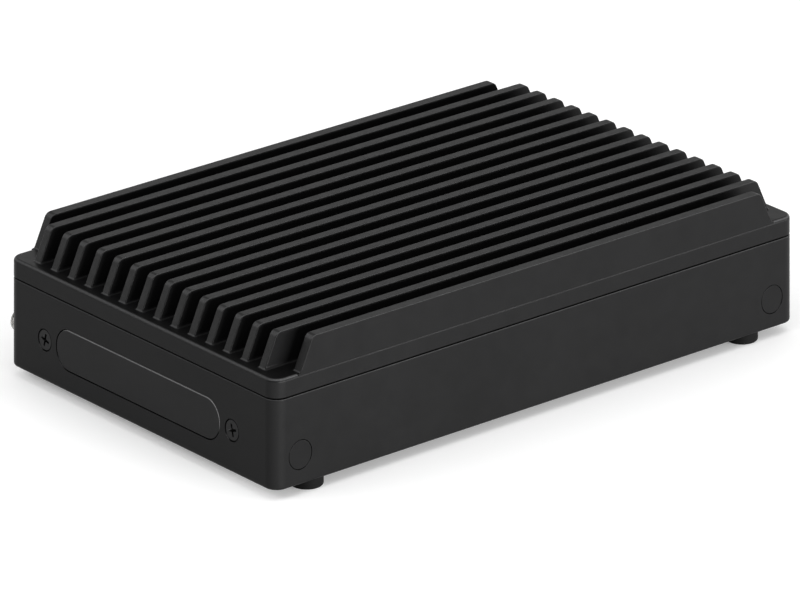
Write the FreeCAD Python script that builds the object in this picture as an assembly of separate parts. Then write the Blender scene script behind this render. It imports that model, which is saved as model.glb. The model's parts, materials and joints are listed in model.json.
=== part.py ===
import FreeCAD, Part
import math
import os

V = FreeCAD.Vector
os.makedirs("parts", exist_ok=True)

# Fanless industrial computer. Millimetres, +Z up.
# Body axes: X along the long sides, Y across, -Y plain long side, +Y connector side,
# -X end with the long insert. The origin is the bottom centre of the whole object's
# box; the antenna jacks stick out on +Y, so the body centre lies at y = body_y0.

# ------------------------------------------------------------------ driving sizes
length = 193.0              # body along X
width = 120.0               # body along Y
corner_r = 4.0              # vertical corner radius
foot_h = 3.0                # rubber foot height
housing_h = 24.8            # lower housing, underside to rim
seam_gap = 0.4              # shadow gap between rim and lid
flange_h = 5.3              # lid flange, seam to flange top
fin_h = 9.3                 # fin height above the flange
wall = 2.5                  # housing wall
floor_t = 2.2               # housing floor
roof_t = 3.5                # lid plate over the pocket

fin_count = 16
fin_t = 2.76                # fin thickness
fin_t_outer = 3.05          # the two outer fins, flush with the body sides
fin_pitch = 7.775           # inner fins, centre to centre
fin_end_inner = 3.15        # inner fins: foot of the sloped end from the body end
fin_end_outer = 9.15        # two outer fins
fin_slope = 0.476           # run over rise of the sloped fin ends
fin_corner_r = 2.2          # rounded top corner of a fin end
fin_edge_r = 0.25           # rounded fin edges
fin_foot_r = 0.8            # casting fillet round each fin foot
flange_r = 1.0              # rounded top edge of the flange

insert_len = 74.0           # visible length of the obround insert
insert_hgt = 11.8           # visible height
insert_z = 14.75
insert_gap = 0.26
insert_y0 = 0.8             # the insert sits a little towards the socket side
insert_screw_y = 42.15
insert_screw_z = 14.6

ant_x = 87.35               # antenna hole distance from the body centre
ant_z = 11.3
plug_d = 7.9
sma_out = 7.0               # antenna jack beyond the face
sma_thread_r = 3.175

foot_d = 9.5
foot_x = 80.6
foot_y = 54.4

lid_screw_x = 84.0
lid_screw_y = 37.5
vesa = 75.0

board_x = 146.0
board_y = 102.0
board_t = 1.6
board_y0 = 4.5              # board centre in Y, body axes
standoff_h = 3.0

button_travel = 1.0
body_y0 = -sma_out / 2.0    # body centre in the object frame

# ------------------------------------------------------------------ derived levels
z_under = foot_h
z_floor = z_under + floor_t
z_rim = z_under + housing_h
z_lid = z_rim + seam_gap
z_flange = z_lid + flange_h
z_top = z_flange + fin_h
z_roof = z_flange - roof_t
hx, hy = length / 2.0, width / 2.0
z_board = z_floor + standoff_h
z_brd = z_board + board_t   # board top

solids = {}


def put(name, *shapes):
    """Collects solids under one node name."""
    flat = []
    for s in shapes:
        if isinstance(s, (list, tuple)):
            flat += list(s)
        else:
            flat.append(s)
    out = []
    for s in flat:
        out += list(s.Solids) if s.Solids else []
    solids.setdefault(name, []).extend(out)


def box(x0, x1, y0, y1, z0, z1):
    return Part.makeBox(x1 - x0, y1 - y0, z1 - z0, V(x0, y0, z0))


def cyl(x, y, z, r, h, axis=(0, 0, 1)):
    return Part.makeCylinder(r, h, V(x, y, z), V(*axis))


def cone(x, y, z, r0, r1, h, axis=(0, 0, 1)):
    return Part.makeCone(r0, r1, h, V(x, y, z), V(*axis))


def rbox(x0, x1, y0, y1, z0, z1, r):
    """Box with rounded vertical corners."""
    pts = [V(x0 + r, y0, z0), V(x1 - r, y0, z0), V(x1, y0 + r, z0), V(x1, y1 - r, z0),
           V(x1 - r, y1, z0), V(x0 + r, y1, z0), V(x0, y1 - r, z0), V(x0, y0 + r, z0)]
    k = r * (1 - math.sqrt(0.5))
    mids = [V(x1 - k, y0 + k, z0), V(x1 - k, y1 - k, z0), V(x0 + k, y1 - k, z0), V(x0 + k, y0 + k, z0)]
    e = []
    for i in range(4):
        a, b, c = pts[2 * i], pts[2 * i + 1], pts[(2 * i + 2) % 8]
        e.append(Part.LineSegment(a, b).toShape())
        e.append(Part.Arc(b, mids[i], c).toShape())
    return Part.Face(Part.Wire(e)).extrude(V(0, 0, z1 - z0))


def prism(pts, vec):
    """Solid from a closed list of 3-D points, pushed along vec."""
    w = Part.makePolygon([V(*p) for p in pts] + [V(*pts[0])])
    return Part.Face(w).extrude(V(*vec))


def hexa(x, y, z, af, h, axis="z", turn=0.0):
    r = af / math.sqrt(3.0)
    pts = []
    for i in range(6):
        a = math.radians(60 * i + turn)
        c, s = r * math.cos(a), r * math.sin(a)
        pts.append({"z": (x + c, y + s, z), "y": (x + c, y, z + s), "x": (x, y + c, z + s)}[axis])
    vec = {"z": (0, 0, h), "y": (0, h, 0), "x": (h, 0, 0)}[axis]
    return prism(pts, vec)


def fillet(shape, r, pick):
    edges = [e for e in shape.Edges if pick(e)]
    return shape.makeFillet(r, edges) if edges else shape


def chamfer(shape, r, pick):
    edges = [e for e in shape.Edges if pick(e)]
    return shape.makeChamfer(r, edges) if edges else shape


def at_z(e, z, tol=1e-4):
    b = e.BoundBox
    return abs(b.ZMin - z) < tol and abs(b.ZMax - z) < tol


def fuse(first, *rest):
    s = first
    for r in rest:
        s = s.fuse(r)
    return s.removeSplitter()


def cut(a, *tools):
    return a.cut(list(tools)) if len(tools) > 1 else a.cut(tools[0])


def moved(s, x=0, y=0, z=0):
    c = s.copy()
    c.translate(V(x, y, z))
    return c


def turned(s, axis, deg, at=(0, 0, 0)):
    c = s.copy()
    c.rotate(V(*at), V(*axis), deg)
    return c


def tube(points, dia, share=0.42):
    """Round lead along straight runs joined by tangent arcs; prints its bend radii."""
    P = [V(*p) for p in points]
    n = len(P)
    edges, radii = [], []
    last = P[0]
    for i in range(1, n - 1):
        u = (P[i] - P[i - 1]).normalize()
        w = (P[i + 1] - P[i]).normalize()
        turn = math.acos(max(-1.0, min(1.0, u.dot(w))))
        run = share * min((P[i] - P[i - 1]).Length, (P[i + 1] - P[i]).Length)
        r = run / math.tan(turn / 2.0)
        a, b = P[i] - u * run, P[i] + w * run
        bis = (w - u).normalize()
        centre = P[i] + bis * (r / math.cos(turn / 2.0))
        mid = centre - bis * r
        edges.append(Part.LineSegment(last, a).toShape())
        edges.append(Part.Arc(a, mid, b).toShape())
        last = b
        radii.append(round(r, 2))
    edges.append(Part.LineSegment(last, P[-1]).toShape())
    path = Part.Wire(edges)
    d = (P[1] - P[0]).normalize()
    ring = Part.Wire([Part.makeCircle(dia / 2.0, P[0], d)])
    s = path.makePipeShell([ring], True, False)
    area = math.pi * dia * dia / 4.0
    print("lead radii", radii, "length", round(path.Length, 1),
          "volume ratio", round(s.Volume / (area * path.Length), 3))
    return s


def cross_recess(arm, wide, deep):
    """Tool for a cross recess, opening at z = 0 and running down to z = -deep."""
    wing = prism([(-arm, -wide / 2, 0.01), (arm, -wide / 2, 0.01), (arm * 0.55, -wide / 2, -deep),
                  (-arm * 0.55, -wide / 2, -deep)], (0, wide, 0))
    core = cone(0, 0, -deep, wide * 0.62, wide * 0.95, deep + 0.01)
    return wing.fuse(turned(wing, (0, 0, 1), 90)).fuse(core)


def csk_screw(head_d, d, total, arm=1.75, wide=0.62, deep=1.25):
    """Countersunk screw, head face at z = 0, shank along -Z."""
    hh = (head_d - d) / 2.0
    rim = cyl(0, 0, -0.22, head_d / 2.0, 0.22)
    head = cone(0, 0, -0.22 - hh, d / 2.0, head_d / 2.0, hh)
    shank = cyl(0, 0, -total + 0.4, d / 2.0, total - 0.4 - 0.22 - hh)
    tip = cone(0, 0, -total, d / 2.0 - 0.4, d / 2.0, 0.4)
    s = fuse(rim, head, shank, tip)
    s = fillet(s, 0.1, lambda e: at_z(e, 0.0))
    return s.cut(cross_recess(arm, wide, deep))


def pan_screw(head_d, head_h, d, total):
    """Pan head screw, head seat at z = 0, shank along -Z."""
    head = fillet(cyl(0, 0, 0, head_d / 2.0, head_h), head_h * 0.45, lambda e: at_z(e, head_h))
    shank = cyl(0, 0, -total + 0.3, d / 2.0, total - 0.3)
    tip = cone(0, 0, -total, d / 2.0 - 0.3, d / 2.0, 0.3)
    s = fuse(head, shank, tip)
    return s.cut(moved(cross_recess(head_d * 0.32, head_d * 0.12, head_h * 0.7), z=head_h))


# ================================================================== heatsink lid
def fin_outline(y, x_foot, z_base, flare):
    """Closed X-Z wire of one fin at height y, symmetric about x = 0."""
    xf = hx - x_foot
    xt = xf - fin_slope * fin_h
    ang = math.atan(fin_slope)
    turn = math.pi / 2 - ang                   # turn at the top corner
    tl = fin_corner_r * math.tan(turn / 2)
    ux, uz = -math.sin(ang), math.cos(ang)     # up the right-hand slope
    a = (xt - ux * tl, z_top - uz * tl)
    b = (xt - tl, z_top)
    # mid point of the corner arc
    nx, nz = -math.cos(ang), -math.sin(ang)
    cx, cz = a[0] + nx * fin_corner_r, a[1] + nz * fin_corner_r
    mid_a = math.atan2(a[1] - cz, a[0] - cx)
    mid_b = math.pi / 2
    m = (mid_a + mid_b) / 2
    mid = (cx + fin_corner_r * math.cos(m), cz + fin_corner_r * math.sin(m))
    xb = xf + fin_slope * (z_flange - z_base)
    P = lambda p, s=1: V(s * p[0], y, p[1])
    return Part.Wire([
        Part.LineSegment(P((xb, z_base)), P(a)).toShape(),
        Part.Arc(P(a), P(mid), P(b)).toShape(),
        Part.LineSegment(P(b), P(b, -1)).toShape(),
        Part.Arc(P(b, -1), P(mid, -1), P(a, -1)).toShape(),
        Part.LineSegment(P(a, -1), P((xb, z_base), -1)).toShape(),
        Part.LineSegment(P((xb, z_base), -1), P((xb, z_base))).toShape(),
    ])


def make_fin(x_foot, thick, outer):
    """One fin from y = 0 to y = thick with a thin pad of flange round its foot.
    outer: the y = 0 side is flush with the body side and gets no foot fillet."""
    z_base = z_flange - 0.6
    blade = Part.Face(fin_outline(0, x_foot, z_base, 0)).extrude(V(0, thick, 0))

    def top_edge(e):
        b = e.BoundBox
        if b.YMax - b.YMin > 1e-4:
            return False
        return not (abs(b.ZMin - z_base) < 1e-4 and abs(b.ZMax - z_base) < 1e-4)

    blade = fillet(blade, fin_edge_r, top_edge)
    m = fin_foot_r + 0.25
    xp = hx - x_foot + 0.65 * fin_foot_r + 0.2
    pad = box(-xp, xp, 0 if outer else -m, thick + m, z_flange - 0.6, z_flange)
    body = fuse(blade, pad)

    def foot(e):
        b = e.BoundBox
        if not (abs(b.ZMin - z_flange) < 1e-3 and abs(b.ZMax - z_flange) < 1e-3):
            return False
        if abs(b.YMax - (thick + m)) < 1e-3 and abs(b.YMin - (thick + m)) < 1e-3:
            return False
        if not outer and abs(b.YMin + m) < 1e-3 and abs(b.YMax + m) < 1e-3:
            return False
        if abs(abs(b.XMin) - xp) < 1e-3 and abs(abs(b.XMax) - xp) < 1e-3 and b.XMax - b.XMin < 1e-3:
            return False
        if outer and b.YMax < 1e-3:
            return False
        return True

    return fillet(body, fin_foot_r, foot)


plate = rbox(-hx, hx, -hy, hy, z_lid, z_flange, corner_r)
plate = fillet(plate, flange_r, lambda e: at_z(e, z_flange))
plate = fillet(plate, 0.2, lambda e: at_z(e, z_lid))
lid = plate
inner_fin = make_fin(fin_end_inner, fin_t, False)
outer_fin = make_fin(fin_end_outer, fin_t_outer, True)
fins = []
for k in range(fin_count):
    y = (k - (fin_count - 1) / 2) * fin_pitch - fin_t / 2
    if k == 0:
        fins.append(moved(outer_fin, y=-hy))
    elif k == fin_count - 1:
        fins.append(turned(moved(outer_fin, y=-hy), (0, 0, 1), 180))
    else:
        fins.append(moved(inner_fin, y=y))
lid = lid.multiFuse(fins).removeSplitter()

# pocket under the plate, tongue inside the housing rim
rim_in = wall + 0.6
pocket = rbox(-hx + rim_in + 1.6, hx - rim_in - 1.6, -hy + rim_in + 1.6, hy - rim_in - 1.6, z_lid - 1, z_roof, 1.5)
tongue = rbox(-hx + wall + 0.15, hx - wall - 0.15, -hy + wall + 0.15, hy - wall - 0.15, z_lid - 1.4, z_lid + 0.5, 1.8)
tongue = tongue.cut(rbox(-hx + rim_in + 1.6, hx - rim_in - 1.6, -hy + rim_in + 1.6, hy - rim_in - 1.6, z_lid - 2, z_lid + 1, 1.5))
lid = lid.cut(pocket).fuse(tongue).removeSplitter()

# heat pedestal and screw bosses under the plate
cpu_x, cpu_y = -6.0, 8.0
ped = 20.0
z_sub = z_brd + 0.35            # underside of the processor carrier, on its solder
z_die = z_sub + 1.1
z_die_top = z_die + 0.8
z_pad = z_die_top + 0.5
z_cu = z_pad + 3.0
pedestal = rbox(cpu_x - ped, cpu_x + ped, cpu_y - ped, cpu_y + ped, z_cu, z_roof + 0.5, 3.0)
z_boss = 22.0
bosses = [cyl(sx * lid_screw_x, sy * lid_screw_y, z_boss, 3.6, z_roof + 0.5 - z_boss)
          for sx in (-1, 1) for sy in (-1, 1)]
ribs = [box(-85, 85, y - 0.9, y + 0.9, z_roof - 1.3, z_roof + 0.3) for y in (-33.0, 38.0)]
lid = lid.fuse([pedestal] + bosses + ribs).removeSplitter()
holes = [cyl(sx * lid_screw_x, sy * lid_screw_y, z_boss - 0.1, 1.52, 7.1) for sx in (-1, 1) for sy in (-1, 1)]
cu_hole = [cyl(cpu_x + sx * 16.5, cpu_y + sy * 16.5, z_cu - 0.1, 1.27, 5.1) for sx in (-1, 1) for sy in (-1, 1)]
lid = lid.cut(holes + cu_hole)
put("heatsink_lid", lid)

# ================================================================== lower housing
outer = rbox(-hx, hx, -hy, hy, z_under, z_rim, corner_r)
outer = fillet(outer, 0.8, lambda e: at_z(e, z_under))
outer = fillet(outer, 0.25, lambda e: at_z(e, z_rim))
cavity = rbox(-hx + wall, hx - wall, -hy + wall, hy - wall, z_floor, z_rim + 1, 2.0)
cavity = fillet(cavity, 1.0, lambda e: at_z(e, z_floor))
housing = outer.cut(cavity)

# inside: screw posts, threaded bosses, stiffening pads
posts = [cyl(sx * lid_screw_x, sy * lid_screw_y, z_floor - 0.2, 3.6, z_boss - z_floor + 0.2 - 0.1)
         for sx in (-1, 1) for sy in (-1, 1)]
vesa_z = z_floor + 2.0
vpads = [cone(sx * vesa / 2, sy * vesa / 2, z_floor - 0.2, 4.4, 3.9, 2.2) for sx in (-1, 1) for sy in (-1, 1)]
so_xy = [(sx * 69.0, board_y0 + sy * 47.0) for sx in (-1, 1) for sy in (-1, 1)]
spads = [cyl(x, y, z_floor - 0.2, 3.2, 0.5) for x, y in so_xy]
housing = housing.fuse(posts + vpads + spads).removeSplitter()

tools = []
# lid screw holes, countersunk below
for sx in (-1, 1):
    for sy in (-1, 1):
        x, y = sx * lid_screw_x, sy * lid_screw_y
        tools += [cyl(x, y, z_under - 1, 1.7, 40), cyl(x, y, z_under - 1, 3.15, 1.5),
                  cone(x, y, z_under + 0.5, 3.15, 1.7, 1.45)]
        # threaded holes for a wall or arm plate
        vx, vy = sx * vesa / 2, sy * vesa / 2
        tools += [cyl(vx, vy, z_under - 1, 1.65, 20), cone(vx, vy, z_under - 0.01, 2.25, 1.65, 0.6)]
        # rubber foot holes
        tools += [cyl(sx * foot_x, sy * foot_y, z_under - 1, 1.8, 6)]
for x, y in so_xy:
    tools += [cyl(x, y, z_floor - 1.0, 1.27, 4)]
# long insert opening and its two screws
z0i = insert_z - insert_hgt / 2
ri = insert_hgt / 2


def obround(x0, x1, yc, zc, half_len, r):
    """Obround prism along X."""
    s = box(x0, x1, yc - half_len + r, yc + half_len - r, zc - r, zc + r)
    return fuse(s, cyl(x0, yc - half_len + r, zc, r, x1 - x0, (1, 0, 0)),
                cyl(x0, yc + half_len - r, zc, r, x1 - x0, (1, 0, 0)))


tools.append(obround(-hx - 1, -hx + wall + 1, insert_y0, insert_z, insert_len / 2, ri))
for sy in (-1, 1):
    y = insert_y0 + sy * insert_screw_y
    tools += [cyl(-hx - 1, y, insert_screw_z, 1.7, 6, (1, 0, 0)),
              cyl(-hx - 1, y, insert_screw_z, 3.15, 1.85, (1, 0, 0)),
              cone(-hx + 0.37, y, insert_screw_z, 2.95, 1.7, 1.25, (1, 0, 0))]
# antenna holes: plugged on -Y, jacks on +Y
for sx in (-1, 1):
    tools += [cyl(sx * ant_x, -hy - 1, ant_z, 3.25, 8, (0, 1, 0)),
              cyl(sx * ant_x, -hy - 1, ant_z, plug_d / 2 + 0.18, 2.1, (0, 1, 0))]
    tools += [cyl(sx * ant_x, hy - 6, ant_z, 3.3, 8, (0, 1, 0))]

# connector side: centre x, half width, bottom and top of each opening
btn_x, btn_z = -60.8, 15.0
lp_x, lp_z = -52.6, (13.0, 18.0)
dc_x = -44.0
va_x, vb_x = -30.0, -11.5
na_x, nb_x = 7.0, 25.5
ua_x, ub_x = 42.5, 58.2
g = 0.3
va_z, vb_z = z_brd + 0.4, z_brd + 0.4


def video_a_pts(x, z, grow):
    w, h = 7.0 + grow, 4.9 + 2 * grow
    z = z - grow
    return [(x - w, z + h), (x + w, z + h), (x + w, z + 2.2 + grow * 0.6), (x + w - 1.9, z + 0.9), (x + w - 1.9, z),
            (x - w + 1.9, z), (x - w + 1.9, z + 0.9), (x - w, z + 2.2 + grow * 0.6)]


def video_b_pts(x, z, grow):
    w, h = 8.0 + grow, 4.9 + 2 * grow
    z = z - grow
    return [(x - w, z), (x + w, z), (x + w, z + h), (x - w + 2.0, z + h), (x - w, z + h - 2.0)]


def yprism(pts, y0, y1):
    return prism([(p[0], y0, p[1]) for p in pts], (0, y1 - y0, 0))


tools += [cyl(btn_x, hy - 6, btn_z, 3.85, 8, (0, 1, 0))]
for z in lp_z:
    tools += [cyl(lp_x, hy - 6, z, 1.3, 8, (0, 1, 0))]
tools += [box(dc_x - 4.5 - g, dc_x + 4.5 + g, hy - 6, hy + 2, z_brd - 0.0, z_brd + 11.0 + g)]
tools += [yprism(video_a_pts(va_x, va_z, g), hy - 6, hy + 2), yprism(video_b_pts(vb_x, vb_z, g), hy - 6, hy + 2)]
for x in (na_x, nb_x):
    tools += [box(x - 8.0 - g, x + 8.0 + g, hy - 6, hy + 2, z_brd - 0.2, z_brd + 13.5 + g)]
for x in (ua_x, ub_x):
    tools += [box(x - 6.6 - g, x + 6.6 + g, hy - 6, hy + 2, z_brd - 0.2, z_brd + 15.7 + g)]
housing = housing.cut(tools)
put("lower_housing", housing)

# gasket between rim and lid, set back from the outer face
gk = rbox(-hx + 1.2, hx - 1.2, -hy + 1.2, hy - 1.2, z_rim, z_lid, 2.8)
gk = gk.cut(rbox(-hx + wall, hx - wall, -hy + wall, hy - wall, z_rim - 1, z_lid + 1, 1.8))
put("lid_gasket", gk)

# lid screws, from below through the posts
ls = csk_screw(5.9, 3.0, 24.5)
for sx in (-1, 1):
    for sy in (-1, 1):
        put("lid_screws", moved(turned(ls, (1, 0, 0), 180), sx * lid_screw_x, sy * lid_screw_y, z_under + 0.25))

# rubber feet: foot, stem and barb in one moulding
foot = cyl(0, 0, 0, foot_d / 2, foot_h)
foot = fillet(foot, 0.5, lambda e: at_z(e, 0))
foot = fillet(foot, 0.2, lambda e: at_z(e, foot_h))
foot = foot.cut(cone(0, 0, -0.01, 1.6, 1.2, 0.9))
foot = fuse(foot, cyl(0, 0, foot_h - 0.1, 1.7, floor_t + 0.4), cone(0, 0, z_floor + 0.12, 2.35, 1.3, 1.6))
for sx in (-1, 1):
    for sy in (-1, 1):
        put("rubber_feet", moved(foot, sx * foot_x, sy * foot_y))

# ================================================================== long insert, -X end
boss_l = insert_len / 2 - insert_gap
face = obround(-hx, -hx + wall + 0.1, insert_y0, insert_z, boss_l, ri - insert_gap)
face = fillet(face, 0.3, lambda e: abs(e.BoundBox.XMin + hx) < 1e-4 and abs(e.BoundBox.XMax + hx) < 1e-4)
back = turned(rbox(-7.6, 7.6, -47.0, 47.0, 0, 1.6, 2.0), (0, 1, 0), 90)
back = moved(back, -hx + wall, insert_y0, insert_z)
ins = fuse(face, back)
for sy in (-1, 1):
    ins = fuse(ins, cyl(-hx + wall + 1.5, insert_y0 + sy * insert_screw_y, insert_screw_z, 3.0, 3.0, (1, 0, 0)))
for sy in (-1, 1):
    ins = ins.cut(cyl(-hx, insert_y0 + sy * insert_screw_y, insert_screw_z, 1.52, 12, (1, 0, 0)))
put("end_insert", ins)
es = csk_screw(5.6, 3.0, 7.5, arm=1.8, wide=0.7, deep=1.3)
es = turned(es, (0, 1, 0), -90)
for sy in (-1, 1):
    put("end_insert_screws", moved(turned(es, (1, 0, 0), 14 * sy), -hx + 0.12, insert_y0 + sy * insert_screw_y, insert_screw_z))

# ================================================================== antenna plugs, -Y
plug = cyl(0, 0, 0, plug_d / 2, 1.1, (0, 1, 0))
plug = fillet(plug, 0.15, lambda e: abs(e.BoundBox.YMin) < 1e-4 and abs(e.BoundBox.YMax) < 1e-4)
plug = fuse(plug, cyl(0, 1.0, 0, 2.95, 1.55, (0, 1, 0)), cone(0, wall + 0.05, 0, 3.5, 2.8, 1.4, (0, 1, 0)))
plug = plug.cut(cyl(0, 1.4, 0, 2.2, 4, (0, 1, 0)))
plug = plug.cut([box(-0.4, 0.4, 1.7, 5, -5, 5), box(-5, 5, 1.7, 5, -0.4, 0.4)])
for sx in (-1, 1):
    put("antenna_hole_plugs", moved(plug, sx * ant_x, -hy, ant_z))

# ================================================================== antenna jacks, +Y
y_in = hy - wall
for sx in (-1, 1):
    x = sx * ant_x
    thread = cyl(x, hy + 2.7, ant_z, sma_thread_r, sma_out - 2.7, (0, 1, 0))
    thread = chamfer(thread, 0.35, lambda e: abs(e.BoundBox.YMin - (hy + sma_out)) < 1e-4 and abs(e.BoundBox.YMax - (hy + sma_out)) < 1e-4)
    body = fuse(thread, cyl(x, y_in, ant_z, 2.95, wall + 2.8, (0, 1, 0)), hexa(x, y_in - 3.0, ant_z, 8.0, 3.0, "y"),
                cyl(x, y_in - 5.0, ant_z, 3.0, 2.1, (0, 1, 0)), cyl(x, y_in - 9.5, ant_z, 1.6, 4.6, (0, 1, 0)))
    body = body.cut([cyl(x, hy + sma_out - 4.5, ant_z, 2.3, 5, (0, 1, 0)),
                     cyl(x, y_in - 6.0, ant_z, 1.05, 20, (0, 1, 0)), cyl(x, y_in - 10, ant_z, 0.72, 5, (0, 1, 0))])
    put("antenna_jacks", body)
    ins_d = cyl(x, hy + sma_out - 4.4, ant_z, 2.2, 4.2, (0, 1, 0)).cut(cyl(x, hy, ant_z, 0.66, 10, (0, 1, 0)))
    put("antenna_jack_insulators", ins_d)
    pin = cyl(x, hy + sma_out - 4.3, ant_z, 0.64, 4.2, (0, 1, 0)).cut(cyl(x, hy + sma_out - 2.0, ant_z, 0.42, 5, (0, 1, 0)))
    put("antenna_jack_contacts", pin)
    washer = cyl(x, hy, ant_z, 5.0, 0.5, (0, 1, 0)).cut(cyl(x, hy - 1, ant_z, 3.3, 3, (0, 1, 0)))
    teeth = []
    for i in range(12):
        t = box(4.35, 5.2, -0.35, 0.35, -1, 2)
        t = turned(turned(t, (0, 0, 1), 30 * i), (1, 0, 0), -90)
        teeth.append(moved(t, x, hy, ant_z))
    put("antenna_lock_washers", washer.cut(teeth))
    nut = hexa(x, hy + 0.5, ant_z, 8.0, 2.1, "y")
    cap_k = fuse(cyl(x, hy + 0.5, ant_z, 4.65, 1.55, (0, 1, 0)),
                 cone(x, hy + 2.05, ant_z, 4.65, 4.05, 0.55, (0, 1, 0)))
    nut = nut.common(cap_k).cut(cyl(x, hy, ant_z, 3.0, 5, (0, 1, 0)))
    put("antenna_nuts", nut)

# ================================================================== power button and lights
cap = cyl(btn_x, hy - wall - 0.3, btn_z, 3.7, wall + 1.1, (0, 1, 0))
cap = fillet(cap, 0.35, lambda e: abs(e.BoundBox.YMin - (hy + 0.8)) < 1e-4 and abs(e.BoundBox.YMax - (hy + 0.8)) < 1e-4)
cap = fuse(cap, cyl(btn_x, hy - wall - 1.5, btn_z, 4.7, 1.3, (0, 1, 0)))
ball = Part.makeSphere(14.0, V(btn_x, hy + 0.8 + 13.75, btn_z))
cap = cap.cut(ball)
put("power_button", cap)
stem = cyl(btn_x, hy - wall - 5.5, btn_z, 1.7, 4.0, (0, 1, 0))
put("power_switch_stem", stem)
sw = box(btn_x - 3.6, btn_x + 3.6, hy - wall - 8.0, hy - wall - 3.1, z_brd, btn_z + 3.2)
sw = fillet(sw, 0.3, lambda e: abs(e.BoundBox.XMax - e.BoundBox.XMin) < 1e-4 and abs(e.BoundBox.ZMax - e.BoundBox.ZMin) < 1e-4)
sw = sw.cut(cyl(btn_x, hy - wall - 6.8, btn_z, 1.85, 6, (0, 1, 0)))
put("power_switch_body", sw)
for z in lp_z:
    lp = cyl(lp_x, hy - wall - 3.0, z, 1.2, wall + 3.2, (0, 1, 0))
    lp = fillet(lp, 0.3, lambda e: abs(e.BoundBox.YMin - (hy + 0.2)) < 1e-4 and abs(e.BoundBox.YMax - (hy + 0.2)) < 1e-4)
    lp = fuse(lp, cyl(lp_x, hy - wall - 2.0, z, 1.9, 1.7, (0, 1, 0)))
    put("status_light_pipes", lp)
lh = box(lp_x - 2.6, lp_x + 2.6, hy - wall - 7.0, hy - wall - 3.1, z_brd, lp_z[1] + 2.6)
for z in lp_z:
    lh = lh.cut(cyl(lp_x, hy - wall - 5.6, z, 1.5, 6, (0, 1, 0)))
    put("status_leds", cyl(lp_x, hy - wall - 5.5, z, 1.35, 2.3, (0, 1, 0)))
put("status_led_holder", lh)

# ================================================================== DC power jack
y_face = hy - 0.35
dcz = z_brd + 6.3
dc = box(dc_x - 4.5, dc_x + 4.5, y_face - 14.2, y_face, z_brd, z_brd + 11.0)
dc = fillet(dc, 0.4, lambda e: e.BoundBox.YMax - e.BoundBox.YMin > 5)
dc = dc.cut([cyl(dc_x, y_face - 9.6, dcz, 3.2, 20, (0, 1, 0)), cone(dc_x, y_face - 0.5, dcz, 3.2, 3.7, 0.51, (0, 1, 0))])
put("power_jack_body", dc)
pin = cyl(dc_x, y_face - 9.6, dcz, 1.25, 8.6, (0, 1, 0))
pin = fillet(pin, 0.5, lambda e: abs(e.BoundBox.YMin - (y_face - 1.0)) < 1e-4 and abs(e.BoundBox.YMax - (y_face - 1.0)) < 1e-4)
put("power_jack_pin", pin)
spring = cyl(dc_x, y_face - 9.0, dcz, 3.15, 7.6, (0, 1, 0)).cut([cyl(dc_x, y_face - 10, dcz, 2.9, 12, (0, 1, 0)),
                                                                box(dc_x - 5, dc_x + 5, y_face - 12, y_face, dcz - 1.6, dcz + 5)])
put("power_jack_spring_contact", spring)

# ================================================================== video ports
def shell_from(ptsf, x, z, depth, t):
    outer_s = yprism(ptsf(x, z, 0.0), y_face - depth, y_face)
    inner_s = yprism(ptsf(x, z, -t), y_face - depth + 0.6, y_face + 1)
    return outer_s.cut(inner_s)


put("video_port_shells", shell_from(video_a_pts, va_x, va_z, 11.5, 0.35), shell_from(video_b_pts, vb_x, vb_z, 13.0, 0.35))
for x, z, w, d in ((va_x, va_z + 2.75, 4.9, 9.6), (vb_x, vb_z + 2.15, 5.9, 11.0)):
    tg = box(x - w, x + w, y_face - d - 0.8, y_face - 1.6, z - 0.45, z + 0.45)
    tg = chamfer(tg, 0.15, lambda e: abs(e.BoundBox.YMin - (y_face - 1.6)) < 1e-4 and abs(e.BoundBox.YMax - (y_face - 1.6)) < 1e-4 and e.BoundBox.XMax - e.BoundBox.XMin > 3)
    put("video_port_tongues", tg)
    n = 9
    for i in range(n):
        cx = x - w + 0.9 + i * (2 * w - 1.8) / (n - 1)
        put("video_port_contacts", box(cx - 0.16, cx + 0.16, y_face - d, y_face - 2.4, z + 0.45, z + 0.55))
        put("video_port_contacts", box(cx - 0.16, cx + 0.16, y_face - d, y_face - 2.4, z - 0.55, z - 0.45))

# ================================================================== network jacks
def net_jack(x):
    w, h, d = 8.0, 13.5, 21.0
    shell = box(x - w, x + w, y_face - d, y_face, z_brd, z_brd + h)
    shell = shell.cut(box(x - w + 0.35, x + w - 0.35, y_face - d + 0.35, y_face + 1, z_brd - 1, z_brd + h - 0.35))
    core = box(x - w + 0.35, x + w - 0.35, y_face - d + 0.35, y_face - 0.25, z_brd, z_brd + h - 0.35)
    zc = z_brd + 1.6
    mouth = box(x - 5.95, x + 5.95, y_face - 14.5, y_face + 1, zc + 2.2, zc + 9.2)
    latch1 = box(x - 3.1, x + 3.1, y_face - 14.5, y_face + 1, zc + 0.9, zc + 2.3)
    latch2 = box(x - 1.65, x + 1.65, y_face - 14.5, y_face + 1, zc - 0.4, zc + 1.0)
    core = core.cut([mouth, latch1, latch2])
    # windows for the two lights above the mouth
    leds = []
    for s in (-1, 1):
        core = core.cut(box(x + s * 5.6 - 1.5, x + s * 5.6 + 1.5, y_face - 8.0, y_face + 1, z_brd + h - 2.35, z_brd + h - 0.6))
        leds.append(box(x + s * 5.6 - 1.4, x + s * 5.6 + 1.4, y_face - 7.9, y_face - 0.3, z_brd + h - 2.25, z_brd + h - 0.7))
    pins = []
    for i in range(8):
        cx = x - 3.57 + i * 1.02
        a = [(cx - 0.18, y_face - 1.6, zc + 9.1), (cx - 0.18, y_face - 12.8, zc + 7.5), (cx - 0.18, y_face - 12.8, zc + 7.25), (cx - 0.18, y_face - 1.6, zc + 8.85)]
        pins.append(prism(a, (0.36, 0, 0)))
    return shell, core, leds, pins


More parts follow.
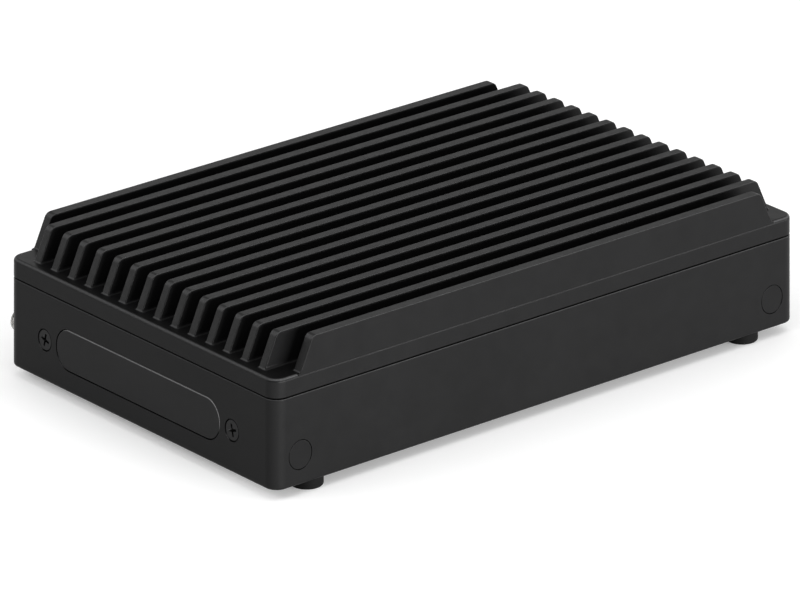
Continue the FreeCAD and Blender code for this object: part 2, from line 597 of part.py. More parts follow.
for x in (na_x, nb_x):
    a, b, c, d = net_jack(x)
    put("network_jack_shells", a)
    put("network_jack_inserts", b)
    put("network_jack_lights", c)
    put("network_jack_contacts", d)

# ================================================================== stacked serial-bus ports
for x in (ua_x, ub_x):
    w, h, d = 6.6, 15.7, 17.5
    sh = box(x - w, x + w, y_face - d, y_face, z_brd, z_brd + h)
    apertures = [(z_brd + 1.1, z_brd + 6.2), (z_brd + 9.2, z_brd + 14.3)]
    sh = sh.cut(box(x - w + 0.35, x + w - 0.35, y_face - d + 0.35, y_face + 1, z_brd - 1, z_brd + h - 0.35))
    frame = box(x - w + 0.35, x + w - 0.35, y_face - d + 0.35, y_face - 0.05, z_brd, z_brd + h - 0.35)
    for z0, z1 in apertures:
        frame = frame.cut(box(x - 6.25, x + 6.25, y_face - 11.5, y_face + 1, z0, z1))
    put("usb_port_shells", sh)
    for z0, z1 in apertures:
        t = box(x - 5.55, x + 5.55, y_face - 11.5, y_face - 1.3, z1 - 2.75, z1 - 0.95)
        t = chamfer(t, 0.3, lambda e: abs(e.BoundBox.YMin - (y_face - 1.3)) < 1e-4 and abs(e.BoundBox.YMax - (y_face - 1.3)) < 1e-4 and e.BoundBox.XMax - e.BoundBox.XMin > 3)
        frame = frame.fuse(t)
        for i in range(4):
            cx = x + (-3.5, -1.0, 1.0, 3.5)[i]
            put("usb_port_contacts", box(cx - 0.5, cx + 0.5, y_face - 9.5, y_face - 2.6, z1 - 2.85, z1 - 2.75))
    put("usb_port_frames", frame.removeSplitter())

# ================================================================== mainboard
bx0, bx1 = -board_x / 2, board_x / 2
by0, by1 = board_y0 - board_y / 2, board_y0 + board_y / 2
pcb = rbox(bx0, bx1, by0, by1, z_board, z_brd, 1.0)
pcb = pcb.cut([cyl(x, y, z_board - 1, 1.65, 4) for x, y in so_xy])
put("mainboard", pcb)
for x, y in so_xy:
    st = hexa(x, y, z_floor + 0.3, 5.0, standoff_h - 0.3)
    st = fuse(st, cyl(x, y, z_floor - 0.95, 1.25, 1.3))
    put("board_standoffs", st.cut(cyl(x, y, z_floor + 0.35, 1.27, 6)))
    put("board_screws", moved(pan_screw(5.4, 2.0, 2.5, 4.0), x, y, z_brd))

# processor on its carrier, pads and copper spreader
sub = rbox(cpu_x - 15.0, cpu_x + 15.0, cpu_y - 12.0, cpu_y + 12.0, z_sub, z_die, 0.6)
balls = box(cpu_x - 13.6, cpu_x + 13.6, cpu_y - 10.6, cpu_y + 10.6, z_brd, z_sub)
put("processor_carrier", fuse(sub, balls))
put("processor_die", rbox(cpu_x - 6.2, cpu_x + 6.2, cpu_y - 4.6, cpu_y + 4.6, z_die, z_die_top, 0.2))
put("processor_thermal_pad", rbox(cpu_x - 7.5, cpu_x + 7.5, cpu_y - 6.0, cpu_y + 6.0, z_die_top, z_pad, 0.5))
cu = rbox(cpu_x - ped + 0.5, cpu_x + ped - 0.5, cpu_y - ped + 0.5, cpu_y + ped - 0.5, z_pad, z_cu, 2.5)
for sx in (-1, 1):
    for sy in (-1, 1):
        x, y = cpu_x + sx * 16.5, cpu_y + sy * 16.5
        cu = cu.cut([cyl(x, y, z_pad - 1, 1.35, 6), cyl(x, y, z_pad - 1, 2.4, 1.6), cone(x, y, z_pad + 0.6, 2.4, 1.35, 1.05)])
        put("spreader_screws", moved(turned(csk_screw(4.6, 2.5, 6.5, arm=1.3, wide=0.5, deep=0.9), (1, 0, 0), 180), x, y, z_pad + 0.35))
put("copper_spreader", cu)

# memory: socket along -Y edge, module lying flat, chips on both faces
mx, my = -27.0, -42.5
sock = box(mx - 36.5, mx + 36.5, my - 3.2, my + 3.2, z_brd, z_brd + 5.2)
sock = sock.cut(box(mx - 34.0, mx + 34.0, my - 0.6, my + 4, z_brd + 2.3, z_brd + 3.7))
arms = [box(mx + s * 35.6 - 0.8, mx + s * 35.6 + 0.8, my + 3.2, my + 27.5, z_brd, z_brd + 4.2) for s in (-1, 1)]
put("memory_socket", fuse(sock, *arms))
mod = box(mx - 33.8, mx + 33.8, my - 0.5, my + 29.5, z_brd + 2.4, z_brd + 3.6)
mod = mod.cut([cyl(mx + s * 33.8, my + 24.0, z_brd, 0.95, 6) for s in (-1, 1)])
put("memory_module", mod)
for i in range(4):
    cx = mx - 24.0 + 16.0 * i
    put("memory_chips", box(cx - 4.6, cx + 4.6, my + 9.5, my + 22.5, z_brd + 3.6, z_brd + 4.7))
    put("memory_chips", box(cx - 4.6, cx + 4.6, my + 9.5, my + 22.5, z_brd + 1.3, z_brd + 2.4))

# solid-state drive, right side, along Y
sx0 = 58.5
ssk = box(sx0 - 11.2, sx0 + 11.2, 32.5, 38.0, z_brd, z_brd + 4.2)
ssk = ssk.cut(box(sx0 - 10.2, sx0 + 10.2, 31.0, 36.6, z_brd + 2.1, z_brd + 3.1))
put("drive_socket", ssk)
smod = box(sx0 - 11.0 + 0.9, sx0 + 11.0 - 0.9, -43.4, 36.5, z_brd + 2.2, z_brd + 3.0)
smod = smod.cut(cyl(sx0, -43.4, z_brd, 1.75, 8))
put("drive_module", smod)
for y0, y1 in ((-38.0, -24.0), (-20.0, -6.0), (4.0, 16.0), (20.0, 28.0)):
    put("drive_chips", box(sx0 - 8.2, sx0 + 8.2, y0, y1, z_brd + 3.0, z_brd + 4.2))
sso = hexa(sx0, -43.4, z_brd, 4.5, 2.2).cut(cyl(sx0, -43.4, z_brd + 0.6, 1.02, 4))
put("card_standoffs", sso)
put("card_screws", moved(pan_screw(4.6, 0.9, 2.0, 2.4), sx0, -43.4, z_brd + 3.0))

# wireless card beside it
wx = 33.0
wsk = box(wx - 11.2, wx + 11.2, -11.5, -6.0, z_brd, z_brd + 4.2)
wsk = wsk.cut(box(wx - 10.2, wx + 10.2, -13.0, -7.4, z_brd + 2.1, z_brd + 3.1))
put("wireless_socket", wsk)
wmod = box(wx - 10.1, wx + 10.1, -37.5, -7.5, z_brd + 2.2, z_brd + 3.0)
wmod = wmod.cut(cyl(wx, -37.5, z_brd, 1.75, 8))
put("wireless_card", wmod)
put("wireless_card_shield", box(wx - 8.0, wx + 8.0, -30.0, -13.0, z_brd + 3.0, z_brd + 4.4))
put("card_standoffs", hexa(wx, -37.5, z_brd, 4.5, 2.2).cut(cyl(wx, -37.5, z_brd + 0.6, 1.02, 4)))
put("card_screws", moved(pan_screw(4.6, 0.9, 2.0, 2.4), wx, -37.5, z_brd + 3.0))
lead_ends = [(wx - 6.0, -33.5), (wx + 6.0, -33.5)]
for x, y in lead_ends:
    put("antenna_lead_plugs", cyl(x, y, z_brd + 3.0, 1.3, 1.3))

# antenna leads: from the two jacks round the board to the wireless card
zl = z_brd + 3.65
lead_d = 1.3
yj = y_in - 9.5
left = [(-ant_x, yj, ant_z), (-ant_x, yj - 3.4, ant_z + 0.2), (-84.6, yj - 5.0, ant_z + 1.4), (-80.4, yj - 5.2, zl + 1.0), (-77.4, yj - 8.6, zl + 1.5), (-77.0, 28.0, zl + 1.5), (-77.0, 10.0, zl + 1.4),
        (-77.0, -12.0, zl + 1.5), (-77.0, -33.0, zl + 1.4), (-76.0, -50.0, zl + 1.5), (-60.0, -52.0, zl + 1.4),
        (-38.0, -52.0, zl + 1.5), (-14.0, -52.0, zl + 1.4), (8.0, -52.0, zl + 1.5), (24.0, -49.0, zl + 1.3), (26.6, -41.0, zl + 0.6), (wx - 6.0, -36.5, zl), (wx - 6.0, -34.8, zl)]
right = [(ant_x, yj, ant_z), (ant_x, yj - 3.4, ant_z + 0.2), (84.6, yj - 5.0, ant_z + 1.4), (80.4, yj - 5.2, zl + 1.0), (77.4, yj - 8.6, zl + 1.5), (77.0, 28.0, zl + 1.5), (77.0, 10.0, zl + 1.4),
         (77.0, -12.0, zl + 1.5), (77.0, -33.0, zl + 1.4), (75.5, -49.5, zl + 1.5), (60.0, -52.0, zl + 1.4), (44.0, -49.0, zl + 1.3), (39.6, -41.0, zl + 0.6), (wx + 6.0, -36.5, zl), (wx + 6.0, -34.8, zl)]
put("antenna_leads", tube(left, lead_d), tube(right, lead_d))

# coin cell and holder
cx0, cy0 = -56.0, 14.0
holder = rbox(cx0 - 11.6, cx0 + 11.6, cy0 - 12.4, cy0 + 12.4, z_brd, z_brd + 4.6, 1.5)
holder = holder.cut([cyl(cx0, cy0, z_brd + 0.9, 10.15, 10), box(cx0 - 4.5, cx0 + 4.5, cy0 - 14, cy0 + 14, z_brd + 2.5, z_brd + 10)])
put("coin_cell_holder", holder)
cell = fuse(cyl(cx0, cy0, z_brd + 0.95, 9.2, 0.4), cyl(cx0, cy0, z_brd + 1.3, 10.0, 2.8))
cell = fillet(cell, 0.3, lambda e: at_z(e, z_brd + 4.1))
put("coin_cell", cell)

# inductors, capacitors, chips, headers
for x, y in ((-38.0, 27.0), (-38.0, 17.5), (-38.0, 8.0), (-38.0, -1.5)):
    q = rbox(x - 3.6, x + 3.6, y - 3.6, y + 3.6, z_brd, z_brd + 4.0, 0.7)
    put("inductors", fillet(q, 0.4, lambda e: at_z(e, z_brd + 4.0)))
for x, y in ((-31.0, 27.0), (-31.0, 17.5), (-31.0, 8.0), (20.0, 27.0), (20.0, 19.0), (27.5, 19.0), (27.5, 27.0)):
    c = fuse(cyl(x, y, z_brd + 0.6, 2.5, 5.4), box(x - 2.6, x + 2.6, y - 2.6, y + 2.6, z_brd, z_brd + 0.6))
    put("capacitors", fillet(c, 0.35, lambda e: at_z(e, z_brd + 6.0)))
for x, y, w, d in ((27.0, 8.0, 5.0, 5.0), (38.0, 12.0, 3.5, 3.5), (38.0, 22.0, 3.5, 3.5), (-62.0, -6.0, 5.5, 5.5), (-50.0, -5.0, 3.0, 4.0), (15.0, -26.0, 3.5, 3.5)):
    put("board_chips", box(x - w, x + w, y - d, y + d, z_brd, z_brd + 1.2))
for x, y, n in ((-62.0, 33.0, 5), (-46.0, 34.0, 4)):
    put("pin_headers", box(x - n * 1.27, x + n * 1.27, y - 2.5, y + 2.5, z_brd, z_brd + 2.5))
    for i in range(n):
        for s in (-1, 1):
            px, py = x - n * 1.27 + 1.27 + 2.54 * i, y + s * 1.27
            put("pin_headers", box(px - 0.3, px + 0.3, py - 0.3, py + 0.3, z_brd + 2.5, z_brd + 8.4))

# ================================================================== write
names = sorted(solids)
total = 0
lo, hi = [1e9] * 3, [-1e9] * 3
for name in names:
    parts = []
    for s in solids[name]:
        c = s.copy()
        c.translate(V(0, body_y0, 0))
        if not c.isValid():
            print("not valid:", name)
        parts.append(c)
    shape = parts[0] if len(parts) == 1 else Part.makeCompound(parts)
    b = shape.BoundBox
    lo = [min(lo[0], b.XMin), min(lo[1], b.YMin), min(lo[2], b.ZMin)]
    hi = [max(hi[0], b.XMax), max(hi[1], b.YMax), max(hi[2], b.ZMax)]
    shape.exportStep(f"parts/{name}.step")
    total += len(parts)
    print(f"{name:28s} solids {len(parts):3d} volume {sum(p.Volume for p in parts):10.1f}")
print("nodes", len(names), "solids", total, "box", [round(v, 3) for v in lo], [round(v, 3) for v in hi])
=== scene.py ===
import json
import math

import bpy
from mathutils import Matrix, Vector

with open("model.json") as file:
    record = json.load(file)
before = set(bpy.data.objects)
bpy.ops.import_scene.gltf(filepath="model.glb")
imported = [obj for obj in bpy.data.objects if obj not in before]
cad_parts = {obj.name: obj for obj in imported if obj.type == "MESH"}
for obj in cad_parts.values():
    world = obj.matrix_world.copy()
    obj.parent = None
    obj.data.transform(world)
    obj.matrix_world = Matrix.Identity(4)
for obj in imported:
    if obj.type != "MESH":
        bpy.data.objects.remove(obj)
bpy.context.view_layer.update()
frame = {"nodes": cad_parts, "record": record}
nodes = frame["nodes"]
scene = bpy.context.scene
scene.view_settings.view_transform = "Standard"
scene.view_settings.look = "None"

# ---------------------------------------------------------------- node helpers


class Mat:
    """A principled material with small helpers for procedural inputs, in frame coordinates (metres)."""

    def __init__(self, name, color=(0.5, 0.5, 0.5), rough=0.5, metal=0.0, spec=0.5, **direct):
        self.m = bpy.data.materials.new(name)
        self.m.use_nodes = True
        self.t = self.m.node_tree
        self.b = self.t.nodes["Principled BSDF"]
        self.set("Base Color", (*color, 1.0))
        self.set("Roughness", rough)
        self.set("Metallic", metal)
        self.set("Specular IOR Level", spec)
        for k, v in direct.items():
            self.set(k.replace("_", " "), v)
        self.coord = self.node("ShaderNodeTexCoord").outputs["Object"]
        self.m.diffuse_color = (*color, 1.0)

    def set(self, socket, value):
        self.b.inputs[socket].default_value = value

    def node(self, kind, **props):
        n = self.t.nodes.new(kind)
        for k, v in props.items():
            setattr(n, k, v)
        return n

    def link(self, a, b):
        self.t.links.new(a, b)

    def scaled(self, x=1.0, y=1.0, z=1.0, rot=(0, 0, 0)):
        n = self.node("ShaderNodeMapping")
        n.inputs["Scale"].default_value = (x, y, z)
        n.inputs["Rotation"].default_value = rot
        self.link(self.coord, n.inputs["Vector"])
        return n.outputs["Vector"]

    def noise(self, scale, detail=3.0, rough=0.5, vec=None):
        n = self.node("ShaderNodeTexNoise")
        n.inputs["Scale"].default_value = scale
        n.inputs["Detail"].default_value = detail
        n.inputs["Roughness"].default_value = rough
        self.link(vec or self.coord, n.inputs["Vector"])
        return n.outputs["Fac"]

    def voronoi(self, scale, feature="F1", vec=None, randomness=1.0):
        n = self.node("ShaderNodeTexVoronoi", feature=feature)
        n.inputs["Scale"].default_value = scale
        n.inputs["Randomness"].default_value = randomness
        self.link(vec or self.coord, n.inputs["Vector"])
        return n.outputs["Distance"]

    def wave(self, scale, axis="Y", dist=0.0, vec=None, profile="SIN"):
        n = self.node("ShaderNodeTexWave", bands_direction=axis, wave_profile=profile)
        n.inputs["Scale"].default_value = scale
        n.inputs["Distortion"].default_value = dist
        self.link(vec or self.coord, n.inputs["Vector"])
        return n.outputs["Fac"]

    def ramp(self, fac, stops):
        n = self.node("ShaderNodeValToRGB")
        e = n.color_ramp.elements
        while len(e) < len(stops):
            e.new(0.5)
        for i, (p, c) in enumerate(stops):
            e[i].position = p
            e[i].color = (*c, 1.0) if len(c) == 3 else c
        self.link(fac, n.inputs["Fac"])
        return n.outputs["Color"]

    def span(self, fac, lo, hi, f0=0.0, f1=1.0):
        n = self.node("ShaderNodeMapRange")
        for k, v in (("From Min", f0), ("From Max", f1), ("To Min", lo), ("To Max", hi)):
            n.inputs[k].default_value = v
        self.link(fac, n.inputs["Value"])
        return n.outputs["Result"]

    def math(self, op, a, b=None, clamp=False):
        n = self.node("ShaderNodeMath", operation=op, use_clamp=clamp)
        for i, v in enumerate((a, b)):
            if v is None:
                continue
            if isinstance(v, (int, float)):
                n.inputs[i].default_value = v
            else:
                self.link(v, n.inputs[i])
        return n.outputs["Value"]

    def mix(self, fac, a, b, blend="MIX"):
        n = self.node("ShaderNodeMix", data_type="RGBA", blend_type=blend)
        if isinstance(fac, (int, float)):
            n.inputs["Factor"].default_value = fac
        else:
            self.link(fac, n.inputs["Factor"])
        for s, v in ((6, a), (7, b)):
            if isinstance(v, tuple):
                n.inputs[s].default_value = (*v, 1.0)
            else:
                self.link(v, n.inputs[s])
        return n.outputs[2]

    def color(self, out):
        self.link(out, self.b.inputs["Base Color"])

    def rough(self, out):
        self.link(out, self.b.inputs["Roughness"])

    def bump(self, height, strength, distance):
        n = self.node("ShaderNodeBump")
        n.inputs["Strength"].default_value = strength
        n.inputs["Distance"].default_value = distance
        self.link(height, n.inputs["Height"])
        if getattr(self, "_last", None) is not None:
            self.link(self._last, n.inputs["Normal"])
        self._last = n.outputs["Normal"]
        self.link(self._last, self.b.inputs["Normal"])


def tint(c, k):
    return tuple(max(0.0, v * k) for v in c)


def split(m, out):
    n = m.node("ShaderNodeSeparateXYZ")
    m.link(out, n.inputs["Vector"])
    return n.outputs["X"], n.outputs["Y"], n.outputs["Z"]


FLANGE, FIN_TOP = 0.0335, 0.0428


def rounded_edges(m):
    """Three masks: upper rounded edges, which get a painted highlight (the fillets along the fins' feet, deep in the
    gaps, stay out), the blasted skin of the fins, and the upright rounded corner between the two plain sides, which
    gets a painted highlight."""
    geo = m.node("ShaderNodeNewGeometry")
    nx, ny, nz = split(m, geo.outputs["Normal"])
    height = split(m, geo.outputs["Position"])[2]
    band = m.math("MULTIPLY", m.span(nz, 0.0, 1.0, 0.48, 0.62), m.span(nz, 1.0, 0.0, 0.86, 0.96))
    open_part = m.math("MAXIMUM", m.math("LESS_THAN", height, FLANGE + 0.00005), m.math("GREATER_THAN", height, FIN_TOP - 0.0006))
    end_on = m.span(m.math("ABSOLUTE", ny), 1.0, 0.0, 0.25, 0.5)
    fin_skin = m.math("MULTIPLY", m.math("GREATER_THAN", height, FLANGE + 0.0004), m.span(m.math("ABSOLUTE", ny), 1.0, 0.0, 0.5, 0.8))
    corner_highlight_mask = m.math("MULTIPLY", m.math("MULTIPLY", m.math("MAXIMUM", m.math("MULTIPLY", nx, -1.0), 0.0), m.math("MAXIMUM", m.math("MULTIPLY", ny, -1.0), 0.0)),
                    m.span(m.math("ABSOLUTE", nz), 2.0, 0.0, 0.1, 0.3))
    return m.math("MULTIPLY", band, m.math("MAXIMUM", open_part, end_on)), fin_skin, corner_highlight_mask


def grained(name, color, rough, spec=0.5, grain=5200.0, depth=0.00003, strength=0.25, mottle=0.12, metal=0.0, **kw):
    """Painted, coated or moulded surface: fine grain, soft colour drift, roughness variation."""
    m = Mat(name, color, rough, metal, spec, **kw)
    fine = m.noise(grain, 2.0, 0.55)
    broad = m.noise(55.0, 3.0, 0.5)
    m.color(m.ramp(m.math("ADD", m.math("MULTIPLY", broad, 0.6), m.math("MULTIPLY", fine, 0.4)),
                   [(0.3, tint(color, 1 - mottle)), (0.7, tint(color, 1 + mottle))]))
    m.rough(m.span(m.noise(260.0, 3.0, 0.6), max(0.02, rough - 0.035), min(1.0, rough + 0.035), 0.3, 0.7))
    m.bump(fine, strength, depth)
    return m


# ---------------------------------------------------------------- materials
CAST = (0.0045, 0.0045, 0.0046)
casting = Mat("casting_powder_coat", CAST, 0.38, 0.0, 0.068)
edge_highlight_mask, on_fins, corner_highlight_mask = rounded_edges(casting)
grain_f = casting.noise(5200.0, 2.0, 0.55)
peel = casting.noise(1700.0, 2.0, 0.6)
speck = casting.noise(2400.0, 2.0, 0.65)
tone = casting.math("ADD", casting.math("MULTIPLY", casting.noise(55.0, 3.0, 0.5), 0.5), casting.math("MULTIPLY", grain_f, 0.5))
flat_tone = casting.ramp(tone, [(0.3, tint(CAST, 0.86)), (0.7, tint(CAST, 1.14))])
fin_tone = casting.ramp(speck, [(0.34, tint(CAST, 0.45)), (0.66, tint(CAST, 2.1))])
# painted highlight: the upper rounded edges get a colour far lighter than the casting, standing in for light catching
# them
painted_edge_highlight = casting.ramp(speck, [(0.3, (0.030, 0.030, 0.0305)), (0.7, (0.048, 0.048, 0.0487))])
# painted highlight: the upright corner between the two front sides gets a lighter colour than the plain sides
painted_corner_highlight = casting.ramp(grain_f, [(0.3, (0.0068, 0.0068, 0.0069)), (0.7, (0.0084, 0.0084, 0.0085))])
casting.color(casting.mix(edge_highlight_mask, casting.mix(on_fins, casting.mix(corner_highlight_mask, flat_tone, painted_corner_highlight), fin_tone), painted_edge_highlight))
wander = casting.span(casting.noise(260.0, 3.0, 0.6), 0.345, 0.415, 0.3, 0.7)
fleck = casting.math("MULTIPLY", on_fins, casting.span(speck, -0.05, 0.05, 0.3, 0.7))
casting.rough(casting.math("ADD", casting.math("SUBTRACT", wander, casting.math("MULTIPLY", edge_highlight_mask, 0.1)), fleck))
casting.bump(grain_f, 0.22, 0.000022)
casting.bump(casting.math("MULTIPLY", peel, casting.math("ADD", casting.math("MULTIPLY", on_fins, 1.2), 1.0)), 0.3, 0.00004)

INSERT = tint(CAST, 1.6)
insert_m = Mat("insert_moulding", INSERT, 0.38, 0.0, 0.072)
rim_normal = insert_m.node("ShaderNodeNewGeometry").outputs["Normal"]
rx, ry, rz = split(insert_m, rim_normal)
# painted highlight: the insert's rounded rim, where it faces up and to the front, gets a much lighter colour
facing = insert_m.math("SUBTRACT", insert_m.math("MULTIPLY", rz, 0.9), insert_m.math("MULTIPLY", ry, 0.75))
painted_rim_highlight = insert_m.math("MULTIPLY", insert_m.span(facing, 0.0, 1.0, 0.2, 0.75),
                    insert_m.span(insert_m.math("ABSOLUTE", rx), 1.0, 0.0, 0.8, 0.97))
insert_fine = insert_m.noise(6800.0, 2.0, 0.55)
insert_tone = insert_m.ramp(insert_m.math("ADD", insert_m.math("MULTIPLY", insert_m.noise(55.0, 3.0, 0.5), 0.6), insert_m.math("MULTIPLY", insert_fine, 0.4)),
                            [(0.3, tint(INSERT, 0.88)), (0.7, tint(INSERT, 1.12))])
insert_m.color(insert_m.mix(painted_rim_highlight, insert_tone, insert_m.ramp(insert_fine, [(0.3, (0.15, 0.15, 0.152)), (0.7, (0.21, 0.21, 0.212))])))
insert_m.rough(insert_m.span(insert_m.noise(260.0, 3.0, 0.6), 0.345, 0.415, 0.3, 0.7))
insert_m.bump(insert_fine, 0.2, 0.000016)
plug_m = grained("plug_moulding", CAST, 0.38, 0.064, grain=6800.0, depth=0.000016, strength=0.2)
screw_black = grained("screw_black_finish", (0.004, 0.004, 0.0042), 0.34, 0.12, grain=9000.0, depth=0.00001, strength=0.2)
rubber = grained("foot_rubber", (0.003, 0.003, 0.003), 0.66, 0.045, grain=3500.0, depth=0.00004, strength=0.35)
gasket = grained("gasket_foam", (0.004, 0.004, 0.004), 0.95, 0.1, grain=2500.0, depth=0.0001, strength=0.5)
socket_m = grained("socket_moulding", (0.013, 0.013, 0.0135), 0.5, 0.4, grain=7500.0, depth=0.00001, strength=0.15)
button_m = grained("button_moulding", (0.018, 0.018, 0.0185), 0.34, 0.45, grain=8000.0, depth=0.000008, strength=0.12)
lead_m = grained("lead_jacket", (0.016, 0.016, 0.016), 0.45, 0.4, grain=4000.0, depth=0.00001, strength=0.15)
chip_m = grained("chip_package", (0.017, 0.017, 0.018), 0.6, 0.4, grain=9000.0, depth=0.000012, strength=0.3)
inductor_m = grained("inductor_powder", (0.085, 0.085, 0.088), 0.8, 0.3, grain=4200.0, depth=0.00005, strength=0.6, mottle=0.3)
pad_m = grained("thermal_pad", (0.33, 0.37, 0.41), 0.85, 0.2, grain=2600.0, depth=0.00004, strength=0.4)
ptfe_m = grained("fluoropolymer", (0.78, 0.78, 0.76), 0.55, 0.4, grain=5000.0, depth=0.000006, strength=0.1, mottle=0.04)


def metal(name, color, rough, brushed=0.0, axis="Y", grain=7000.0, mottle=0.1, **kw):
    """Bare or plated metal: fine streaks or grain, uneven sheen."""
    m = Mat(name, color, rough, 1.0, 0.5, **kw)
    stretch = {"X": (60.0, 6000.0, 6000.0), "Y": (6000.0, 60.0, 6000.0), "Z": (6000.0, 6000.0, 60.0)}[axis]
    streak = m.noise(1.0, 2.0, 0.5, m.scaled(*stretch)) if brushed else m.noise(grain, 2.0, 0.5)
    cloud = m.noise(420.0, 3.0, 0.55)
    m.color(m.ramp(cloud, [(0.3, tint(color, 1 - mottle)), (0.7, tint(color, 1 + mottle * 0.5))]))
    m.rough(m.span(m.math("ADD", m.math("MULTIPLY", cloud, 0.6), m.math("MULTIPLY", streak, 0.4)),
                   max(0.03, rough - 0.08), rough + 0.08, 0.3, 0.7))
    m.bump(streak, 0.25, 0.000006 if not brushed else 0.000008)
    return m


shell_m = metal("tinned_sheet", (0.60, 0.60, 0.59), 0.3, 1.0, "Y")
nickel_m = metal("nickel_plate", (0.62, 0.61, 0.59), 0.22)
steel_m = metal("zinc_steel", (0.55, 0.55, 0.55), 0.33)
gold_m = metal("contact_gold", (0.86, 0.60, 0.24), 0.24)
brass_m = metal("machined_brass", (0.72, 0.53, 0.24), 0.3, 1.0, "Z")
copper_m = metal("machined_copper", (0.72, 0.36, 0.22), 0.3, 1.0, "X")
alu_can = metal("drawn_aluminium", (0.70, 0.70, 0.71), 0.28, 1.0, "Z")
cell_m = metal("stamped_stainless", (0.66, 0.66, 0.65), 0.24, 1.0, "X")
die_m = metal("polished_silicon", (0.30, 0.31, 0.35), 0.08, mottle=0.05)

# threaded nickel on the antenna jacks: a 0.706 mm pitch relief along the barrel, with painted shade darkening the
# grooves and random wear
thread_m = Mat("threaded_nickel", (0.5, 0.49, 0.47), 0.18, 1.0, 0.5)
turns = thread_m.math("FRACT", thread_m.math("MULTIPLY", split(thread_m, thread_m.coord)[1], 1000.0 / 0.7056))
ridge = thread_m.math("ABSOLUTE", thread_m.math("SUBTRACT", turns, 0.5))
worn = thread_m.noise(900.0, 3.0, 0.6)
# painted shade: the thread grooves are coloured near black and the crests light, with random wear noise mixed in
groove_shade_and_wear = thread_m.ramp(thread_m.math("ADD", thread_m.math("MULTIPLY", ridge, 1.5), thread_m.math("MULTIPLY", worn, 0.3)),
                      [(0.3, (0.035, 0.034, 0.033)), (0.8, (0.66, 0.65, 0.62))])
thread_m.color(groove_shade_and_wear)
thread_m.rough(thread_m.span(worn, 0.12, 0.3, 0.3, 0.7))
thread_m.bump(thread_m.math("MULTIPLY", ridge, 2.0), 1.0, 0.00042)

# printed boards: green mask over copper tracks, pads and vias
def board(name, mask, track_scale):
    m = Mat(name, mask, 0.3, 0.0, 0.5, Coat_Weight=0.35, Coat_Roughness=0.12)
    vec = m.scaled(1.0, 1.0, 1.0)
    brick = m.node("ShaderNodeTexBrick", offset=0.5, squash=1.0)
    brick.inputs["Scale"].default_value = track_scale
    brick.inputs["Mortar Size"].default_value = 0.018
    brick.inputs["Mortar Smooth"].default_value = 0.2
    brick.inputs["Brick Width"].default_value = 0.9
    brick.inputs["Row Height"].default_value = 0.11
    m.link(vec, brick.inputs["Vector"])
    lines = brick.outputs["Fac"]
    cells = m.voronoi(420.0, "F1", None, 0.9)
    via = m.math("LESS_THAN", cells, 0.16)
    wide = m.math("GREATER_THAN", m.noise(70.0, 1.0, 0.5), 0.56)
    track = m.math("MAXIMUM", m.math("MULTIPLY", lines, wide), via)
    base = m.ramp(m.noise(900.0, 2.0, 0.5), [(0.3, tint(mask, 0.85)), (0.7, tint(mask, 1.15))])
    m.color(m.mix(track, base, tuple(min(1.0, v * 1.9 + 0.01) for v in mask)))
    m.rough(m.span(m.noise(1500.0, 2.0, 0.5), 0.24, 0.38, 0.3, 0.7))
    m.bump(track, 0.4, 0.00003)
    return m


board_m = board("mask_green_board", (0.010, 0.085, 0.040), 110.0)
carrier_m = board("mask_green_carrier", (0.016, 0.12, 0.06), 320.0)

# clear light guides and indicator lenses
light_m = Mat("light_guide", (0.72, 0.76, 0.74), 0.16, 0.0, 0.5, IOR=1.49, Coat_Weight=0.5, Coat_Roughness=0.06)
light_m.set("Transmission Weight", 0.35)
light_m.color(light_m.ramp(light_m.noise(900.0, 3.0, 0.5), [(0.35, (0.66, 0.70, 0.68)), (0.65, (0.80, 0.84, 0.82))]))
light_m.rough(light_m.span(light_m.noise(3000.0, 2.0, 0.5), 0.1, 0.26, 0.3, 0.7))
light_m.bump(light_m.noise(2600.0, 2.0, 0.5), 0.2, 0.00001)

# gold pins in a black strip: the strip is below the pins' length
pin_m = metal("header_pins", (0.80, 0.60, 0.27), 0.25)
psep = pin_m.node("ShaderNodeSeparateXYZ")
pin_m.link(pin_m.coord, psep.inputs["Vector"])
strip = pin_m.math("LESS_THAN", psep.outputs["Z"], 0.01228)
pin_m.link(pin_m.math("SUBTRACT", 1.0, strip), pin_m.b.inputs["Metallic"])
gold_noise = pin_m.ramp(pin_m.noise(420.0, 2.0, 0.5), [(0.3, (0.74, 0.54, 0.23)), (0.7, (0.84, 0.64, 0.3))])
pin_m.color(pin_m.mix(strip, gold_noise, (0.014, 0.014, 0.015)))

MATS = {
    "casting_black": casting, "insert_black": insert_m, "plug_black": plug_m, "screw_black": screw_black,
    "screw_steel": steel_m, "foot_rubber": rubber, "gasket_black": gasket, "jack_nickel": thread_m,
    "contact_gold": gold_m, "nickel_plate": nickel_m, "insulator_white": ptfe_m, "port_shell_steel": shell_m,
    "socket_black": socket_m, "button_black": button_m, "light_clear": light_m, "board_green": board_m,
    "carrier_green": carrier_m, "chip_black": chip_m, "silicon_die": die_m, "thermal_pad": pad_m,
    "copper_plate": copper_m, "brass_standoff": brass_m, "inductor_grey": inductor_m, "capacitor_can": alu_can,
    "cell_steel": cell_m, "header_pins": pin_m, "lead_black": lead_m,
}
slots = {s["node"]: s["material_slot"] for s in frame["record"]["subparts"]}
for n, o in nodes.items():
    o.data.materials.clear()
    o.data.materials.append(MATS[slots[n]].m)

# ---------------------------------------------------------------- floor and light
bpy.ops.mesh.primitive_circle_add(vertices=96, radius=4.0, fill_type="NGON", location=(0, 0, 0))
floor = bpy.context.object
floor.name = "studio_floor"
fm = Mat("studio_floor", (0.93, 0.93, 0.93), 0.9, 0.0, 0.0)
fm.set("Emission Color", (1.0, 1.0, 1.0, 1.0))      # a light table: softens the contact shadow
fm.set("Emission Strength", 0.16)
floor.data.materials.append(fm.m)

world = bpy.data.worlds.new("studio")
scene.world = world
world.use_nodes = True
bg = world.node_tree.nodes["Background"]
bg.inputs["Color"].default_value = (1, 1, 1, 1)
bg.inputs["Strength"].default_value = 0.64


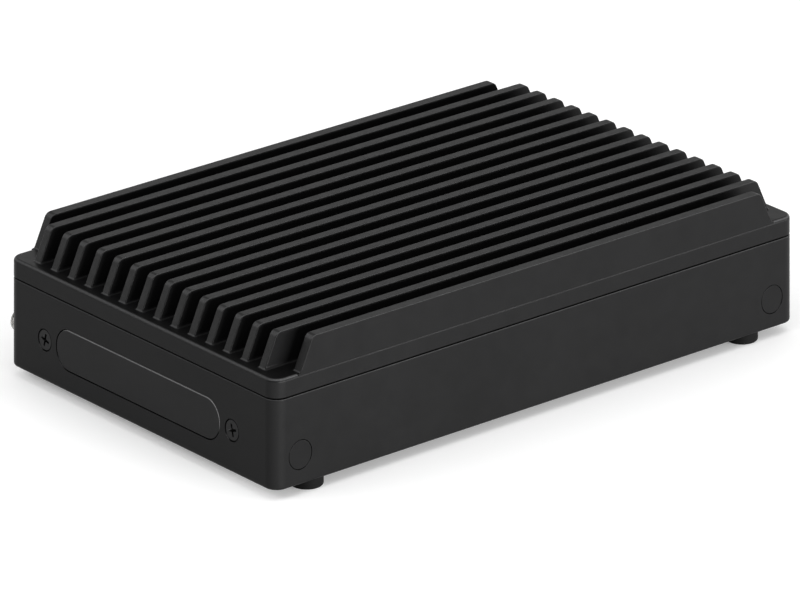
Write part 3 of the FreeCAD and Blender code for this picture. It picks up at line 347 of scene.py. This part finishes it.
def softbox(name, azimuth, elevation, distance, width, height, radiance):
    """A soft panel aimed at the object; sizes in metres, radiance against the room's 0.64."""
    l = bpy.data.lights.new(name, "AREA")
    l.shape = "RECTANGLE"
    l.size, l.size_y = width, height
    l.energy = radiance * math.pi * width * height
    o = bpy.data.objects.new(name, l)
    scene.collection.objects.link(o)
    a, e = math.radians(azimuth), math.radians(elevation)
    out = Vector((math.cos(a) * math.cos(e), math.sin(a) * math.cos(e), math.sin(e)))
    o.location = out * distance
    o.rotation_mode = "QUATERNION"
    o.rotation_quaternion = (-out).to_track_quat("-Z", "Y")
    o.visible_camera = False
    return o


softbox("strip_right", 315.0, 4.0, 1.85, 1.5, 0.25, 22.0)
softbox("strip_front", 270.0, 4.0, 1.85, 1.5, 0.25, 66.0)
softbox("front_high", 315.0, 66.0, 1.85, 1.2, 0.8, 0.8)
softbox("front_left", 250.0, 62.0, 1.85, 1.2, 0.8, 0.9)
softbox("left", 180.0, 38.0, 1.85, 1.2, 0.6, 3.3)
softbox("back_left", 135.0, 13.0, 1.85, 1.5, 0.42, 4.5)
softbox("back", 90.0, 29.0, 1.85, 1.5, 0.6, 0.6)
softbox("back_right", 45.0, 21.0, 1.85, 1.5, 1.0, 0.43)

# ---------------------------------------------------------------- camera
# Two-point perspective: verticals stay upright. The camera's depth axis is tilted against its
# image plane by a sheared parent transform, so the lens needs no shift.
focal_px, yaw, horizon = 8633.31, -0.6966232, -2976.98
cam_at = Vector((-1.583952, -1.895043, 0.951254))
r = Vector((math.cos(yaw), math.sin(yaw), 0))
h = Vector((-math.sin(yaw), math.cos(yaw), 0))
forward = h + Vector((0, 0, 1)) * ((horizon - 299.5) / focal_px)
back = -forward.normalized()
shear = Matrix(((r.x, 0, back.x, cam_at.x), (r.y, 0, back.y, cam_at.y), (r.z, 1, back.z, cam_at.z), (0, 0, 0, 1)))
cam_data = bpy.data.cameras.new("photo_view")
cam_data.sensor_fit = "HORIZONTAL"
cam_data.sensor_width = 36.0
cam_data.lens = focal_px * forward.length / 800.0 * 36.0
cam_data.clip_start, cam_data.clip_end = 0.05, 60.0
cam = bpy.data.objects.new("photo_view", cam_data)
scene.collection.objects.link(cam)
rig = bpy.data.objects.new("photo_rig", None)
scene.collection.objects.link(rig)
cam.parent = rig
cam.matrix_parent_inverse = shear
scene.camera = cam
